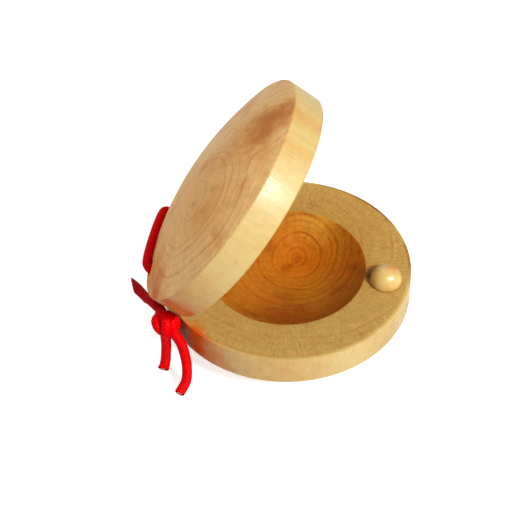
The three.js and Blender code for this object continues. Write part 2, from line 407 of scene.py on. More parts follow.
# How each surface was cut and finished.
# Red dye rubbed off the cord, which also stands for the cord's red reflection painted on the wood.
DYE_AND_CORD_REFLECTION = rgb(204, 76, 2)
DOME_LOOKS = dict(
    outer=rgb(236, 192, 124), heart=rgb(232, 178, 104), heart_reach=(2.0, 20.0),
    warm=rgb(214, 134, 46), blotch=0.5, dark=rgb(170, 84, 12), stain=0.3, dye_and_cord_reflection=DYE_AND_CORD_REFLECTION,
    line=rgb(200, 108, 32), ring=0.66, bands=0.28, band_scale=0.8, faint=0.35,
    ray=0.34, ray_scale=1.0, speckle=0.55, mottle=0.3, pore=0.08, relief=0.012,
    rough=0.45, gloss=0.15, coat=0.1, coat_rough=0.24)
WALL_LOOKS = dict(
    outer=rgb(193, 169, 108), heart=rgb(188, 162, 96), heart_reach=(4.0, 26.0),
    warm=rgb(190, 126, 40), blotch=0.2, dark=rgb(172, 120, 46), stain=0.2, dye_and_cord_reflection=DYE_AND_CORD_REFLECTION,
    # Dark colour painted on the wall as shade behind the knot.
    painted_shade=rgb(110, 34, 10),
    line=rgb(176, 128, 56), ring=0.3, bands=0.35, band_scale=0.8, faint=0.3,
    ray=0.3, ray_scale=1.6, speckle=0.16, mottle=0.08, pore=0.0, relief=0.012,
    rough=0.42, gloss=0.25, coat=0.44, coat_rough=0.36)
EDGE_LOOKS = dict(
    WALL_LOOKS, outer=rgb(186, 157, 92), heart=rgb(184, 153, 87), warm=rgb(128, 64, 10),
    gloss=0.1, coat=0.0)
FACE_LOOKS = dict(
    outer=rgb(176, 141, 73), heart=rgb(170, 132, 64), heart_reach=(6.0, 28.0),
    warm=rgb(169, 122, 54), blotch=0.5, dark=rgb(142, 92, 34), stain=0.3, dye_and_cord_reflection=DYE_AND_CORD_REFLECTION,
    # Dark colour painted on the rim as the peg's shadow.
    painted_shade=rgb(74, 36, 10),
    line=rgb(144, 86, 28), ring=0.45, bands=0.45, band_scale=0.8, faint=0.2,
    ray=0.7, ray_scale=1.7, speckle=1.0, mottle=0.34, pore=0.25, relief=0.06,
    rough=0.7, gloss=0.12, coat=0.0, coat_rough=0.3)
BOWL_LOOKS = dict(
    outer=rgb(172, 104, 20), heart=rgb(186, 104, 14), heart_reach=(1.5, 10.0),
    warm=rgb(172, 90, 6), blotch=0.6, dark=rgb(126, 56, 0), stain=0.5, pale=rgb(206, 146, 50),
    line=rgb(136, 60, 0), ring=0.9, bands=0.45, band_scale=1.7, faint=0.45,
    ray=0.5, ray_scale=1.0, speckle=0.8, mottle=0.42, pore=0.2, relief=0.02,
    rough=0.5, gloss=0.08, coat=0.1, coat_rough=0.35)
PEG_LOOKS = dict(
    outer=rgb(208, 176, 100), heart=rgb(200, 172, 98), heart_reach=(1.0, 6.0),
    warm=rgb(190, 108, 10), blotch=0.2, dark=rgb(120, 62, 14), stain=0.1,
    line=rgb(180, 124, 50), ring=0.15, bands=0.3, band_scale=0.8, faint=0.3,
    ray=0.05, ray_scale=1.0, speckle=0.08, mottle=0.12, pore=0.03, relief=0.008,
    rough=0.3, gloss=0.5, coat=0.6, coat_rough=0.09)
# Painted shade for the peg's foot: the darker colour under the brim and down the shank.
PEG_FOOT_SHADE_LOOKS = dict(
    PEG_LOOKS, outer=rgb(130, 62, 14), heart=rgb(130, 62, 14), gloss=0.1, coat=0.0)
SHELL_FINISHES = dict(
    rim=FACE_LOOKS, bowl=BOWL_LOOKS, wall=WALL_LOOKS, dome=DOME_LOOKS, edge=EDGE_LOOKS)

# Local spots as (x, y, reach, strength, colour) in the piece's own frame: darker heartwood, pale
# and warm patches, red dye rubbed off the cord with the cord's red reflection painted in, and
# painted shade by the knot and painted shadow of the peg.
LOWER_SPOTS = dict(
    # The dark spot at the peg's foot on the rim is its painted shadow.
    rim=((-16.5, 22.0, 3.6, 0.75, "dye_and_cord_reflection"), (PEG_X - 3.7, -PEG_Y - 1.0, 1.3, 0.95, "painted_shade"),
         (14.0, -19.0, 11.0, 0.35, "warm")),
    bowl=((0.9, -7.8, 1.2, 0.4, "dark"), (0.4, -6.6, 1.6, 0.4, "dark"),
          (-1.1, -4.6, 2.0, 0.6, "dark"), (-0.3, -5.6, 1.2, 0.6, "dark"),
          (-2.3, 6.3, 3.4, 0.6, "heart"), (-6.3, -10.6, 1.1, 0.8, "dark"),
          (3.0, -16.0, 7.0, 0.95, "pale"), (-12.0, -3.0, 4.0, 0.4, "pale"),
          (1.0, 12.0, 8.0, 0.6, "dark"), (0.5, 4.5, 4.0, 0.4, "dark"),
          (-5.5, -9.4, 1.6, 0.6, "dark")),
    wall=((5.0, 27.0, 12.0, 0.4, "warm"), (-6.0, 26.8, 14.0, 0.35, "warm"),
          (24.0, 12.0, 9.0, 0.45, "dark"), (-16.0, 22.4, 10.0, 1.0, "dye_and_cord_reflection"),
          # The dark spot on the wall behind the knot is painted shade.
          (-19.5, 19.5, 4.0, 0.8, "painted_shade")),
    dome=((-18.5, 19.0, 8.0, 0.6, "dye_and_cord_reflection"),),
    edge=((16.0, -22.0, 17.0, 1.0, "warm"), (27.0, -6.0, 8.0, 0.8, "warm"),
          (-16.0, 22.4, 9.0, 1.0, "dye_and_cord_reflection")))
UPPER_SPOTS = dict(
    wall=((-11.5, -25.0, 12.0, 1.0, "warm"), (-12.0, -24.8, 6.5, 0.8, "dye_and_cord_reflection"),
          (-19.0, -20.0, 6.0, 1.0, "dye_and_cord_reflection"), (-2.0, -27.4, 7.0, 0.4, "warm"),
          (27.4, 1.8, 2.6, 0.4, "warm"), (26.6, -6.8, 2.2, 0.35, "warm")),
    dome=((17.0, 1.0, 10.0, 0.85, "warm"), (20.5, 2.1, 6.5, 0.7, "dark"),
          (21.0, -2.3, 4.0, 0.35, "dark"), (25.0, 4.0, 5.0, 0.4, "dark"),
          (2.0, 0.6, 2.4, 0.4, "dark"), (1.3, -9.6, 1.2, 0.6, "dark"),
          (-4.7, 4.2, 2.4, 0.35, "warm"), (-19.0, -14.0, 9.0, 0.6, "warm"),
          # The red spots by the loop are dye with the loop's red reflection painted in.
          (-24.0, -11.0, 12.0, 0.85, "warm"), (-16.5, -21.0, 9.0, 0.8, "dye_and_cord_reflection"),
          (-25.0, -7.0, 6.5, 0.6, "dye_and_cord_reflection"), (-21.0, -4.0, 3.6, 0.7, "dye_and_cord_reflection"),
          (-24.0, 0.0, 6.0, 0.7, "dye_and_cord_reflection")),
    edge=((26.0, 9.0, 9.0, 0.5, "warm"), (-16.0, -22.4, 9.0, 1.0, "dye_and_cord_reflection")))
# The warm spot is an orange blotch in the wood; the dark spot on the head's left edge is a painted
# brown reflection.
PEG_SPOTS = ((1.4, 1.2, 2.4, 1.0, "warm"), (-3.3, 1.8, 1.8, 1.0, "dark"))


def shell_woods(half, growth, spots):
    """The finishes of one shell, all cut from the same piece of wood."""
    return [wood(f"{part}_{half}", {**growth, **looks, "spots": spots.get(part, ())})
            for part, looks in SHELL_FINISHES.items()]


# ---- Turned bodies ----

def softened(profile, cuts, steps=5):
    """A 2-D outline with chosen corners rounded; cuts maps a corner's index to its size."""
    outline = []
    for index, point in enumerate(profile):
        size = cuts.get(index)
        if size is None:
            outline.append(point)
            continue
        here = Vector(point)
        before = here + (Vector(profile[index - 1]) - here).normalized() * size
        after = here + (Vector(profile[index + 1]) - here).normalized() * size
        for k in range(steps + 1):
            t = k / steps
            outline.append(tuple((1 - t) ** 2 * before + 2 * t * (1 - t) * here + t * t * after))
    return outline


def lathe(name, profile, segments):
    """A closed body turned about Z; the outline starts and ends on the axis."""
    rings = [point for point in profile if point[0] > 1e-6]
    verts = [(0, 0, profile[0][1])]
    for radius, z in rings:
        for k in range(segments):
            angle = 2 * math.pi * k / segments
            verts.append((radius * math.cos(angle), radius * math.sin(angle), z))
    verts.append((0, 0, profile[-1][1]))
    last = len(verts) - 1
    last_ring = last - segments
    faces = []
    for k in range(segments):
        following = (k + 1) % segments
        faces.append((0, 1 + following, 1 + k))
        for a in range(1, last_ring, segments):
            b = a + segments
            faces.append((a + k, a + following, b + following, b + k))
        faces.append((last, last_ring + k, last_ring + following))
    mesh = bpy.data.meshes.new(name)
    mesh.from_pydata([Vector(v) * MM for v in verts], [], faces)
    editable = bmesh.new()
    editable.from_mesh(mesh)
    bmesh.ops.recalc_face_normals(editable, faces=editable.faces)
    editable.to_mesh(mesh)
    editable.free()
    return mesh


def crease(mesh, degrees):
    """Smooth shading, with edges sharper than the angle kept crisp."""
    editable = bmesh.new()
    editable.from_mesh(mesh)
    for face in editable.faces:
        face.smooth = True
    limit = math.radians(degrees)
    for edge in editable.edges:
        edge.smooth = len(edge.link_faces) == 2 and edge.calc_face_angle(0) < limit
    editable.to_mesh(mesh)
    editable.free()


# ---- Cutting ----

def cutter(mesh, place):
    made = new_object("cutter", mesh)
    made.matrix_world = place
    return made


def drill(outline, x, y):
    """A turned cutter that stands at a place on a shell's flat face."""
    return cutter(lathe("cutter", outline, HOLE_SEGMENTS), Matrix.Translation((x * MM, y * MM, 0)))


def bevel_cutter():
    """A block that planes the flat face off beyond the ridge."""
    editable = bmesh.new()
    bmesh.ops.create_cube(editable, size=1.0)
    bmesh.ops.scale(editable, vec=[side * MM for side in BEVEL_BLOCK], verts=editable.verts)
    drop = Vector((0, 0, CONTACT_GAP - BEVEL_BLOCK[2] / 2))
    bmesh.ops.translate(editable, vec=drop * MM, verts=editable.verts)
    mesh = bpy.data.meshes.new("cutter")
    editable.to_mesh(mesh)
    editable.free()
    ridge = Matrix.Translation((RIDGE_X * MM, 0, 0)) @ Matrix.Rotation(BEVEL_ANGLE, 4, "Y")
    return cutter(mesh, ridge)


def carve(target, tools):
    for tool in tools:
        modifier = target.modifiers.new("carve", "BOOLEAN")
        modifier.operation = "DIFFERENCE"
        modifier.solver = "EXACT"
        modifier.object = tool
    bpy.context.view_layer.update()
    carved = bpy.data.meshes.new_from_object(
        target.evaluated_get(bpy.context.evaluated_depsgraph_get()))
    target.modifiers.clear()
    target.data = carved
    for tool in tools:
        bpy.data.objects.remove(tool)


# ---- Shells ----

def dome_height(radius):
    return WALL_HEIGHT + DOME_HEIGHT * (1 - (radius / SHELL_RADIUS) ** DOME_POWER)


def shell_outline(flat_radius):
    """From the middle of the bowl over the rim and up the wall to the middle of the dome."""
    bowl = []
    for t in np.linspace(0, 1, BOWL_STEPS):
        bowl.append((BOWL_RADIUS * t, CONTACT_GAP + BOWL_DEPTH * (1 - t ** BOWL_POWER)))
    rim = [(SHELL_RADIUS - EDGE_STRIP, CONTACT_GAP), (SHELL_RADIUS, CONTACT_GAP)]
    dome = []
    for radius in np.linspace(SHELL_RADIUS, flat_radius, DOME_STEPS):
        dome.append((radius, dome_height(radius)))
    if flat_radius > 0:
        dome.append((0, dome_height(flat_radius)))
    lip, corner = len(bowl) - 1, len(bowl) + 1
    return softened(bowl + rim + dome,
                    {lip: BOWL_LIP, corner: RIM_ROUNDING, corner + 1: DOME_ROUNDING})


def cord_hole_outline():
    """A straight hole that flares towards its mouth in the dome."""
    outline = [(0, DRILL_START), (HOLE_RADIUS, DRILL_START)]
    for t in np.linspace(0, 1, FLARE_STEPS):
        outline.append((HOLE_RADIUS + HOLE_FLARE * t * t,
                        MOUTH_Z - FLARE_DEPTH + FLARE_LENGTH * t))
    outside = MOUTH_Z + DRILL_RUNOUT
    return outline + [(HOLE_RADIUS + HOLE_FLARE, outside), (0, outside)]


def peg_hole_outline():
    return [(0, DRILL_START), (PEG_HOLE_RADIUS, DRILL_START),
            (PEG_HOLE_RADIUS, PEG_HOLE_DEPTH), (0, PEG_HOLE_DEPTH)]


def shell_part(polygon):
    """The finish that a face of a shell belongs to, with a small margin at each corner."""
    x, y, z = (value / MM for value in polygon.center)
    radius, up = math.hypot(x, y), polygon.normal.z
    if up < -0.05 and radius < BOWL_RADIUS + 0.1 and z > CONTACT_GAP + 0.01:
        return "bowl"
    if radius > SHELL_RADIUS - EDGE_STRIP + 0.05 and z < 0.3:
        return "edge"
    if radius > SHELL_RADIUS - 0.6 and abs(up) < 0.9 and z < WALL_HEIGHT:
        return "wall"
    if up > 0 and z > WALL_HEIGHT - 0.5:
        return "dome"
    return "rim"


def add_shell(half, growth, spots, place, flat_radius, peg_hole):
    """One half: bowl, flat rim, wall and dome, bevelled beyond the ridge and drilled."""
    name = f"{half}_shell_wood"
    made = new_object(name, lathe(name, shell_outline(flat_radius), SHELL_SEGMENTS))
    tools = [bevel_cutter()]
    for side in (-1, 1):
        tools.append(drill(cord_hole_outline(), HOLE_X, side * HOLE_Y))
    if peg_hole:
        tools.append(drill(peg_hole_outline(), PEG_X, -PEG_Y))
    carve(made, tools)
    crease(made.data, SHELL_CREASE)
    made.data.materials.clear()
    for material in shell_woods(half, growth, spots):
        made.data.materials.append(material)
    parts = list(SHELL_FINISHES)
    for polygon in made.data.polygons:
        polygon.material_index = parts.index(shell_part(polygon))
    made.matrix_world = place
    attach(made, f"{half}_half")
    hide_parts(f"{half}_shell")


add_shell("lower", LOWER_WOOD, LOWER_SPOTS, LOWER_FRAME, REST_FLAT_RADIUS, peg_hole=True)
add_shell("upper", UPPER_WOOD, UPPER_SPOTS, UPPER_FRAME, 0.0, peg_hole=False)


# ---- Striker peg ----

def peg_outline():
    """A shank with a chamfered foot, a small rounded brim and a domed head."""
    brim = PEG_HEAD_RADIUS - PEG_ROUNDING
    base = PEG_SEAT + PEG_ROUNDING
    profile = [(0, -PEG_DEPTH), (PEG_SHANK_RADIUS - 0.2, -PEG_DEPTH),
               (PEG_SHANK_RADIUS, 0.3 - PEG_DEPTH), (PEG_SHANK_RADIUS, PEG_SEAT),
               (brim, PEG_SEAT)]
    for angle in np.linspace(-math.pi / 2, 0, BRIM_STEPS)[1:]:
        profile.append((brim + PEG_ROUNDING * math.cos(angle),
                        base + PEG_ROUNDING * math.sin(angle)))
    for angle in np.linspace(0, math.pi / 2, HEAD_STEPS)[1:]:
        profile.append((PEG_HEAD_RADIUS * math.cos(angle) ** PEG_FULLNESS,
                        base + (PEG_HEAD_HEIGHT - base) * math.sin(angle)))
    profile[-1] = (0, PEG_HEAD_HEIGHT)
    return profile


def add_striker_peg():
    """The lacquered button, with shade painted darker under its brim and down its shank."""
    head = wood("peg_wood", {**PEG_WOOD, **PEG_LOOKS, "spots": PEG_SPOTS})
    foot = wood("peg_foot_painted_shade", {**PEG_WOOD, **PEG_FOOT_SHADE_LOOKS, "spots": ()})
    peg = new_object("striker_peg_wood", lathe("striker_peg", peg_outline(), PEG_SEGMENTS), head)
    peg.data.materials.append(foot)
    crease(peg.data, PEG_CREASE)
    for polygon in peg.data.polygons:
        # Faces below this height take the painted shade.
        polygon.material_index = int(polygon.center.z < PEG_SHADE_HEIGHT * MM)
    peg.matrix_world = HINGE_FRAME @ Matrix.Translation((PEG_X * MM, PEG_Y * MM, 0))
    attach(peg, "lower_half")
    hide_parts("striker_peg")


add_striker_peg()


# ---- Cord materials ----

def braid_material(name, brightness):
    """Red braid: bright yarn crowns, valleys painted dark as shade between the yarns, fine fibres
    along each yarn; brightness scales it for painted light and shade.
    """
    nodes = Nodes(name)
    place = nodes.millimetres()
    crown = nodes.add("ShaderNodeAttribute", attribute_name="crown").outputs["Fac"]
    fibre = nodes.noise(place, 9.0, roughness=0.7)
    patch = nodes.noise(place, 0.5, detail=2.0)
    # Painted shade: the crown height sets the colour, so the valleys between the yarns are dark red.
    colour = nodes.mix(nodes.between(crown, 0.04, 0.75), rgb(84, 0, 2), rgb(226, 0, 4))
    colour = nodes.mix(nodes.math("MULTIPLY", patch, 0.4), colour, rgb(176, 0, 6))
    shade = nodes.math("ADD", 0.8, nodes.math("MULTIPLY", fibre, 0.4))
    nodes.look("Base Color", nodes.dim(colour, nodes.math("MULTIPLY", brightness, shade)))
    nodes.look("Roughness", nodes.between(fibre, 0.2, 0.8, 0.3, 0.45))
    nodes.look("Specular IOR Level", nodes.between(crown, 0.55, 0.95, 0.0, 0.15))
    nodes.look("Normal", nodes.bump(fibre, 0.03 * MM))
    return nodes.material


def rubber_material():
    """Pale latex threads, slightly dusty."""
    nodes = Nodes("pale_rubber")
    place = nodes.millimetres()
    dust = nodes.noise(place, 6.0, detail=4.0, roughness=0.7)
    colour = nodes.mix(nodes.between(dust, 0.35, 0.7), rgb(232, 214, 190), rgb(196, 172, 140))
    nodes.look("Base Color", colour)
    nodes.look("Roughness", nodes.between(dust, 0.3, 0.7, 0.5, 0.75))
    nodes.look("Subsurface Weight", 0.15)
    nodes.look("Subsurface Scale", 0.5 * MM)
    nodes.look("Normal", nodes.bump(dust, 0.03 * MM))
    return nodes.material


RED_BRAID = braid_material("red_braid", 1.0)
# One braid in two more copies: a darker one for the bight, as painted shade, and a lighter one for
# the upper loop, as painted light.
SHADED_BRAID = braid_material("painted_shade_braid", 0.7)
LIT_BRAID = braid_material("painted_light_braid", 1.15)
PALE_RUBBER = rubber_material()

# ---- Cord shapes ----

CORD_RADIUS = 1.0
SLACK_RADIUS = 1.08
KNOT_CORD_RADIUS = 1.04
YARNS = 10
YARN_HEIGHT = 0.15
YARN_LEVEL = 0.6
PATH_STEP = 0.1
CURVE_STEPS = 60
AROUND = 60
VALLEY = 0.2


def upper_point(x, y, z):
    """A point of the upper shell's frame, in the hinge frame."""
    lift = math.sin(OPEN_ANGLE)
    reach = math.cos(OPEN_ANGLE)
    return (RIDGE_X + (x - RIDGE_X) * reach - z * lift, y, (x - RIDGE_X) * lift + z * reach)


def lower_point(x, y, z):
    """A point at the given depth in the lower shell, in the hinge frame."""
    return (x, y, -z)


def curve_point(controls, knots, t):
    """A point between the middle two of four controls, on a rounded curve through them."""
    def slide(a, b, start, end):
        return ((end - t) * a + (t - start) * b) / (end - start)

    first = slide(controls[0], controls[1], knots[0], knots[1])
    second = slide(controls[1], controls[2], knots[1], knots[2])
    third = slide(controls[2], controls[3], knots[2], knots[3])
    early = slide(first, second, knots[0], knots[2])
    late = slide(second, third, knots[1], knots[3])
    return slide(early, late, knots[1], knots[2])


def smooth_path(points):
    """Evenly spaced points along a rounded curve through the given ones."""
    points = np.array([tuple(point) for point in points], float)
    ends = np.vstack([2 * points[0] - points[1], points, 2 * points[-1] - points[-2]])
    dense = []
    for controls in zip(ends, ends[1:], ends[2:], ends[3:]):
        gaps = [max(np.linalg.norm(b - a), 1e-6) ** 0.5 for a, b in zip(controls, controls[1:])]
        knots = np.cumsum([0] + gaps)
        for t in np.linspace(knots[1], knots[2], CURVE_STEPS, endpoint=False):
            dense.append(curve_point(controls, knots, t))
    dense = np.array(dense + [points[-1]])
    travel = np.concatenate([[0], np.cumsum(np.linalg.norm(np.diff(dense, axis=0), axis=1))])
    count = max(3, int(round(travel[-1] / PATH_STEP)) + 1)
    wanted = np.linspace(0, travel[-1], count)
    return np.stack([np.interp(wanted, travel, dense[:, k]) for k in range(3)], axis=1), wanted


def turning_frames(path):
    """Two directions across a path, carried along it without twisting."""
    tangents = np.gradient(path, axis=0)
    tangents /= np.linalg.norm(tangents, axis=1)[:, None]
    side = np.array([1.0, 0, 0]) if abs(tangents[0][0]) < 0.8 else np.array([0, 1.0, 0])
    sides = []
    for tangent in tangents:
        side = side - tangent * (side @ tangent)
        side /= np.linalg.norm(side)
        sides.append(side)
    sides = np.array(sides)
    return sides, np.cross(tangents, sides)


def weave(turn, travel):
    """Height from 0 to 1 of a two-way braid at an angle (radians) and a length (mm)."""
    pitch = 2 * math.pi * CORD_RADIUS / YARNS
    first = YARNS * turn / (2 * math.pi) + travel / pitch
    second = YARNS * turn / (2 * math.pi) - travel / pitch
    over = (np.floor(first) + np.floor(second)) % 2 == 0
    across = np.where(over, first, second) % 1 - 0.5
    along = np.where(over, second, first) % 1 - 0.5
    round_yarn = np.sqrt(np.clip(1 - (2 * across) ** 2, 0, 1))
    arch = 0.45 + 0.55 * np.cos(math.pi * along)
    return round_yarn * arch


def band(first, second, around):
    """Faces between two rings of vertices, given where each ring starts."""
    faces = []
    for k in range(around):
        following = (k + 1) % around
        faces.append((first + k, first + following, second + following, second + k))
    return faces


def fan(start, centre, around, flip=False):
    """Faces between a ring of vertices and its centre."""
    faces = []
    for k in range(around):
        pair = (start + k, start + (k + 1) % around)
        faces.append((*(pair[::-1] if flip else pair), centre))
    return faces


def tube(path, travel, radius, around=AROUND, woven=True, open_end=False):
    """Vertices, faces and crown heights of a round cord along a path."""
    sides, across = turning_frames(path)
    turn = np.linspace(0, 2 * math.pi, around, endpoint=False)
    height = weave(turn[None, :], travel[:, None]) if woven else np.ones((len(path), around))
    reach = radius[:, None] + (YARN_HEIGHT * (height - YARN_LEVEL) if woven else 0)
    spoke = (np.cos(turn)[None, :, None] * sides[:, None, :]
             + np.sin(turn)[None, :, None] * across[:, None, :])
    verts = (path[:, None, :] + spoke * reach[:, :, None]).reshape(-1, 3)
    crowns = height.reshape(-1)
    last_ring = (len(path) - 1) * around
    faces = []
    for start in range(0, last_ring, around):
        faces += band(start, start + around, around)
    faces += fan(0, len(verts), around, flip=True)
    verts = np.vstack([verts, path[0]])
    crowns = np.append(crowns, VALLEY)
    if not open_end:
        faces += fan(last_ring, len(verts), around)
        verts = np.vstack([verts, path[-1]])
        crowns = np.append(crowns, VALLEY)
    return verts, faces, crowns


def cord_mesh(name, parts, material):
    """One mesh from several tubes, with the crown height kept for the material."""
    verts, faces, crowns = [], [], []
    for part_verts, part_faces, part_crowns in parts:
        offset = len(verts)
        verts.extend(part_verts.tolist())
        faces.extend(tuple(index + offset for index in face) for face in part_faces)
        crowns.extend(part_crowns.tolist())
    mesh = bpy.data.meshes.new(name)
    mesh.from_pydata([tuple(value * MM for value in vert) for vert in verts], [], faces)
    crown = mesh.attributes.new("crown", "FLOAT", "POINT")
    crown.data.foreach_set("value", np.array(crowns, np.float32))
    mesh.polygons.foreach_set("use_smooth", [True] * len(mesh.polygons))
    made = new_object(name, mesh, material)
    made.matrix_world = HINGE_FRAME
    return made


def plain_cord(name, stops, material):
    """A cord of even thickness through the given points."""
    path, travel = smooth_path(stops)
    return cord_mesh(name, [tube(path, travel, np.full(len(path), CORD_RADIUS))], material)


def bend_between(cord, nodes):
    """Fix a braid in the world frame, in place of its CAD nodes, which are hidden."""
    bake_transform(cord)
    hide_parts(*nodes)


def taper(travel, marks):
    """Radius along a cord from (length, radius) marks; a negative length counts from the end."""
    places = [mark if mark >= 0 else travel[-1] + mark for mark, _ in marks]
    return np.interp(travel, places, [radius for _, radius in marks])


def ease(t):
    """A smooth step for values from 0 to 1."""
    return t * t * (3 - 2 * t)


# ---- Legs and upper loop ----

LEG_ROUNDING = 0.4
LOOP_RISE = 1.6
# Half of the loop as (place across, rise above the mouth), from inside a hole towards the top.
LOOP_ARCH = ((HOLE_Y, -2.2), (HOLE_Y, -1.0), (0.985 * HOLE_Y, 0.0), (0.91 * HOLE_Y, 0.95),
             (0.72 * HOLE_Y, 1.35), (0.4 * HOLE_Y, 1.54))


def add_leg(which, side):
    """Cord straight through a pair of holes, pulled tight across the bevelled edges."""
    y = side * HOLE_Y
    inner = (RIDGE_X - HOLE_X) * math.tan(BEVEL_ANGLE)
    heights = (MOUTH_Z - 1.0, MOUTH_Z * 0.5, inner + LEG_ROUNDING)
    stops = [lower_point(HOLE_X, y, height) for height in heights]
    stops += [upper_point(HOLE_X, y, height) for height in reversed(heights)]
    nodes = [f"{half}_{which}_leg_{layer}"
             for half in ("lower", "upper") for layer in ("sheath", "core")]
    bend_between(plain_cord(f"{which}_leg_braid", stops, RED_BRAID),
                 nodes)


def add_upper_loop():
    """Finger loop: out of the near mouth, over the dome's rim and into the far mouth."""
    stops = [upper_point(HOLE_X, -y, MOUTH_Z + rise) for y, rise in LOOP_ARCH]
    stops += [upper_point(HOLE_X, 0, MOUTH_Z + LOOP_RISE)]
    stops += [upper_point(HOLE_X, y, MOUTH_Z + rise) for y, rise in reversed(LOOP_ARCH)]
    # The loop's braid is painted lighter, as light falling on it.
    bend_between(plain_cord("upper_loop_braid", stops, LIT_BRAID),
                 ("upper_loop_sheath", "upper_loop_core"))


add_leg("near", -1)
add_leg("far", 1)
add_upper_loop()

# ---- Lower loop: near strand, bight and knot ----

# The knot is laid out in its own frame: x to the right, y up and z out of its front. The front
# faces round to the right by the first angle and upwards by the second, in degrees.
KNOT_AZIMUTH = 11.85
KNOT_ELEVATION = 46.06
KNOT_TURN = (Matrix.Rotation(math.radians(KNOT_AZIMUTH), 3, "Z")
             @ Matrix.Rotation(math.radians(90 - KNOT_ELEVATION), 3, "X"))
KNOT_CENTRE = Vector((-22.7, -20.7, -0.4))


def knot_point(x, y, z):
    return tuple(KNOT_CENTRE + KNOT_TURN @ Vector((x, y, z)))


BIGHT_ROOT = knot_point(-0.9, 2.4, -1.9)
NEAR_ROOT = knot_point(-0.2, -1.2, -3.1)
SHORT_START = knot_point(0.05, 0.5, 1.75)
SHORT_NEXT = knot_point(0.05, -0.6, 2.0)
LONG_START = knot_point(1.55, -1.6, 0.9)
LONG_NEXT = knot_point(1.75, -2.4, 0.5)


def add_near_strand():
    """Cord from the near lower hole up the wall to the knot."""
    stops = [lower_point(HOLE_X, -HOLE_Y, MOUTH_Z - 2.2), lower_point(HOLE_X, -HOLE_Y, MOUTH_Z),
             (HOLE_X, -HOLE_Y - 0.7, -MOUTH_Z - 1.4), (-22.9, -12.4, -10.4),
             (-23.1, -15.4, -9.7), (-23.3, -17.9, -7.4), (-23.2, -18.9, -5.2), NEAR_ROOT]
    bend_between(plain_cord("near_strand_braid", stops, RED_BRAID),
                 ("near_strand_sheath", "near_strand_core"))


# The bight is folded sharply back on itself, and its fold is pinched to a point.
FOLD_OUT = Vector((-0.676, 0.706, -0.21)).normalized()
FOLD_ACROSS = Vector((-0.509, -0.242, 0.827)).normalized()
FOLD_SIDE = FOLD_OUT.cross(FOLD_ACROSS)
FOLD_CENTRE = Vector((-32.1, -8.1, -5.2))
FOLD_RADIUS = 1.35
FOLD_POINT = 2.1
FOLD_CURVE = 0.3
FOLD_PINCH = 0.4
FOLD_REACH, FOLD_FADE = 3.0, 2.0
POINT_START, POINT_LENGTH = -2.2, 3.0
BIGHT_RADII = [(0, CORD_RADIUS), (2.5, 1.14), (6.0, 1.1), (10.0, CORD_RADIUS)]


def pinched(verts):
    """The fold's outer end drawn out to a slanting point."""
    offset = verts - np.array(FOLD_CENTRE)
    outward = offset @ np.array(FOLD_OUT)
    sideways = offset @ np.array(FOLD_SIDE)
    near = 1 - np.clip((np.linalg.norm(offset, axis=1) - FOLD_REACH) / FOLD_FADE, 0, 1)
    weight = ease(np.clip((outward - POINT_START) / POINT_LENGTH, 0, 1) * near)
    point = FOLD_POINT * (sideways + FOLD_CURVE * sideways ** 2)
    shift = weight * (point - FOLD_PINCH * np.clip(outward, 0, None))
    return verts + shift[:, None] * np.array(FOLD_OUT)


def add_bight():
    """Cord from the knot out beside the shells and back under the lower one to its far hole."""
    fold = []
    for angle in np.linspace(0, math.pi, 7):
        turn = math.cos(angle) * FOLD_ACROSS + math.sin(angle) * FOLD_OUT
        fold.append(tuple(FOLD_CENTRE + FOLD_RADIUS * turn))
    settled = (-27, -3.4, -9.4)
    stops = [BIGHT_ROOT, (-27.2, -14.5, -1.3), (-29.5, -12.1, -2.6), *fold,
             (-30, -9.3, -6.5), (-28.6, -7.6, -7.9), settled, (-24.4, 3, -10.3),
             (HOLE_X, HOLE_Y - 1, -MOUTH_Z - 1.7), (HOLE_X, HOLE_Y, -MOUTH_Z),
             (HOLE_X, HOLE_Y, -MOUTH_Z + 2.2)]
    path, travel = smooth_path(stops)
    verts, faces, crowns = tube(path, travel, taper(travel, BIGHT_RADII))
    # The bight's braid is painted darker, as shade falling on it.
    bend_between(cord_mesh("bight_braid", [(pinched(verts), faces, crowns)], SHADED_BRAID),
                 ("bight_sheath", "bight_core"))


def add_knot():
    """Two strands wrapped round each other and pulled tight."""
    first = [BIGHT_ROOT, knot_point(-1.35, 2.0, -0.6), knot_point(-0.7, 1.75, 0.45),
             knot_point(0.7, 1.5, 0.95), knot_point(1.85, 0.55, 0.6),
             knot_point(1.95, -0.75, -0.45), knot_point(0.9, -1.45, -1.35),
             knot_point(-0.7, -0.9, -1.5), knot_point(-1.1, 0.4, -0.6),
             knot_point(-0.5, 0.75, 0.7), SHORT_START, SHORT_NEXT]
    second = [NEAR_ROOT, knot_point(-0.5, 0.5, -2.3), knot_point(-1.5, 1.2, -1.1),
              knot_point(-2.15, 0.5, 0.25), knot_point(-1.75, -0.85, 0.75),
              knot_point(-0.75, -1.75, 0.3), knot_point(0.4, -1.3, -0.3),
              knot_point(1.2, 0.1, 0.3), knot_point(1.2, 0.4, 1.35),
              knot_point(1.35, -0.6, 1.35), LONG_START, LONG_NEXT]
    tubes = []
    for strand in (first, second):
        path, travel = smooth_path(strand)
        tubes.append(tube(path, travel, np.full(len(path), KNOT_CORD_RADIUS)))
    made = cord_mesh("knot_braid", tubes, RED_BRAID)
    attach(made, "lower_loop")
    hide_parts("knot")


add_near_strand()
add_bight()
add_knot()

# ---- Loose ends ----

# The cut mouth as (size, distance along the cord), turning inwards to the core.
MOUTH_RINGS = ((0.9, 0.10), (0.72, 0.12), (0.6, 0.0), (0.58, -0.5))
MOUTH_CROWN = 0.7
MOUTH_DEPTH = 0.5
CUT_REACH = 2.6
FLARE_FROM, FLARE_TO = 0.9, 0.3
